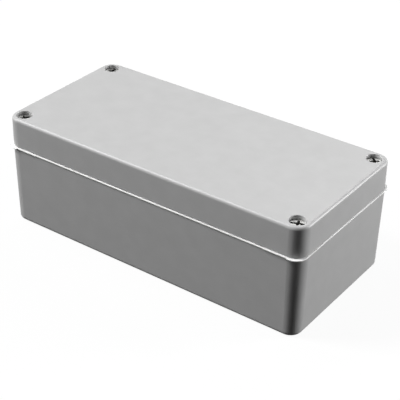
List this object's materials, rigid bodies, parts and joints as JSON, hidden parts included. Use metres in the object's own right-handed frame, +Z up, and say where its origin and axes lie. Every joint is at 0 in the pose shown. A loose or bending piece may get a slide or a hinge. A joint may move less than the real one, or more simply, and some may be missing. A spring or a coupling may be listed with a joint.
{
  "type": "fiberglass enclosure",
  "caption": "Small rectangular glass-fibre polyester enclosure: deep drafted base, shallow screwed lid, white frame seal, sunk captive corner screws and hidden wall-fixing holes.",
  "frame": {"origin": "centre of the base's underside, on the surface it stands on", "axes": "+Z up through the lid, X along the long side, -Y the long side nearest in the picture"},
  "size_m": [0.1606, 0.077, 0.055],
  "materials": {
    "moulding": "satin moulded",
    "seal": "matte silicone",
    "screw_steel": "bright",
    "washer": "matte",
    "insert_brass": "machined"
  },
  "bodies": {
    "base": {"base": "moulding", "seal": "seal", "pillar_insert_front_left": "insert_brass", "floor_insert_front_left": "insert_brass", "pillar_insert_front_right": "insert_brass", "floor_insert_front_right": "insert_brass", "pillar_insert_back_left": "insert_brass", "floor_insert_back_left": "insert_brass", "pillar_insert_back_right": "insert_brass", "floor_insert_back_right": "insert_brass"},
    "lid": {"lid": "moulding"},
    "washer_front_left": {"screw_washer_front_left": "washer"},
    "screw_front_left": {"lid_screw_front_left": "screw_steel"},
    "washer_front_right": {"screw_washer_front_right": "washer"},
    "screw_front_right": {"lid_screw_front_right": "screw_steel"},
    "washer_back_left": {"screw_washer_back_left": "washer"},
    "screw_back_left": {"lid_screw_back_left": "screw_steel"},
    "washer_back_right": {"screw_washer_back_right": "washer"},
    "screw_back_right": {"lid_screw_back_right": "screw_steel"}
  },
  "joints": [
    {"name": "lid_lift", "type": "slide", "parent": "base", "child": "lid", "axis": [0, 0, 1], "range_m": [0, 0.03]},
    {"name": "screw_rise_front_left", "type": "slide", "parent": "lid", "child": "washer_front_left", "axis": [0, 0, 1], "range_m": [0, 0.0084]},
    {"name": "screw_turn_front_left", "type": "hinge", "parent": "washer_front_left", "child": "screw_front_left", "pos_m": [-0.074, -0.0315, 0.05], "axis": [0, 0, 1], "range_deg": [0, 4321]},
    {"name": "screw_rise_front_right", "type": "slide", "parent": "lid", "child": "washer_front_right", "axis": [0, 0, 1], "range_m": [0, 0.0084]},
    {"name": "screw_turn_front_right", "type": "hinge", "parent": "washer_front_right", "child": "screw_front_right", "pos_m": [0.074, -0.0315, 0.05], "axis": [0, 0, 1], "range_deg": [0, 4321]},
    {"name": "screw_rise_back_left", "type": "slide", "parent": "lid", "child": "washer_back_left", "axis": [0, 0, 1], "range_m": [0, 0.0084]},
    {"name": "screw_turn_back_left", "type": "hinge", "parent": "washer_back_left", "child": "screw_back_left", "pos_m": [-0.074, 0.0315, 0.05], "axis": [0, 0, 1], "range_deg": [0, 4321]},
    {"name": "screw_rise_back_right", "type": "slide", "parent": "lid", "child": "washer_back_right", "axis": [0, 0, 1], "range_m": [0, 0.0084]},
    {"name": "screw_turn_back_right", "type": "hinge", "parent": "washer_back_right", "child": "screw_back_right", "pos_m": [0.074, 0.0315, 0.05], "axis": [0, 0, 1], "range_deg": [0, 4321]}
  ],
  "couplings": [
    {"joint": "screw_turn_front_left", "follows": "screw_rise_front_left", "rad_per_m": 8976},
    {"joint": "screw_turn_front_right", "follows": "screw_rise_front_right", "rad_per_m": 8976},
    {"joint": "screw_turn_back_left", "follows": "screw_rise_back_left", "rad_per_m": 8976},
    {"joint": "screw_turn_back_right", "follows": "screw_rise_back_right", "rad_per_m": 8976}
  ]
}
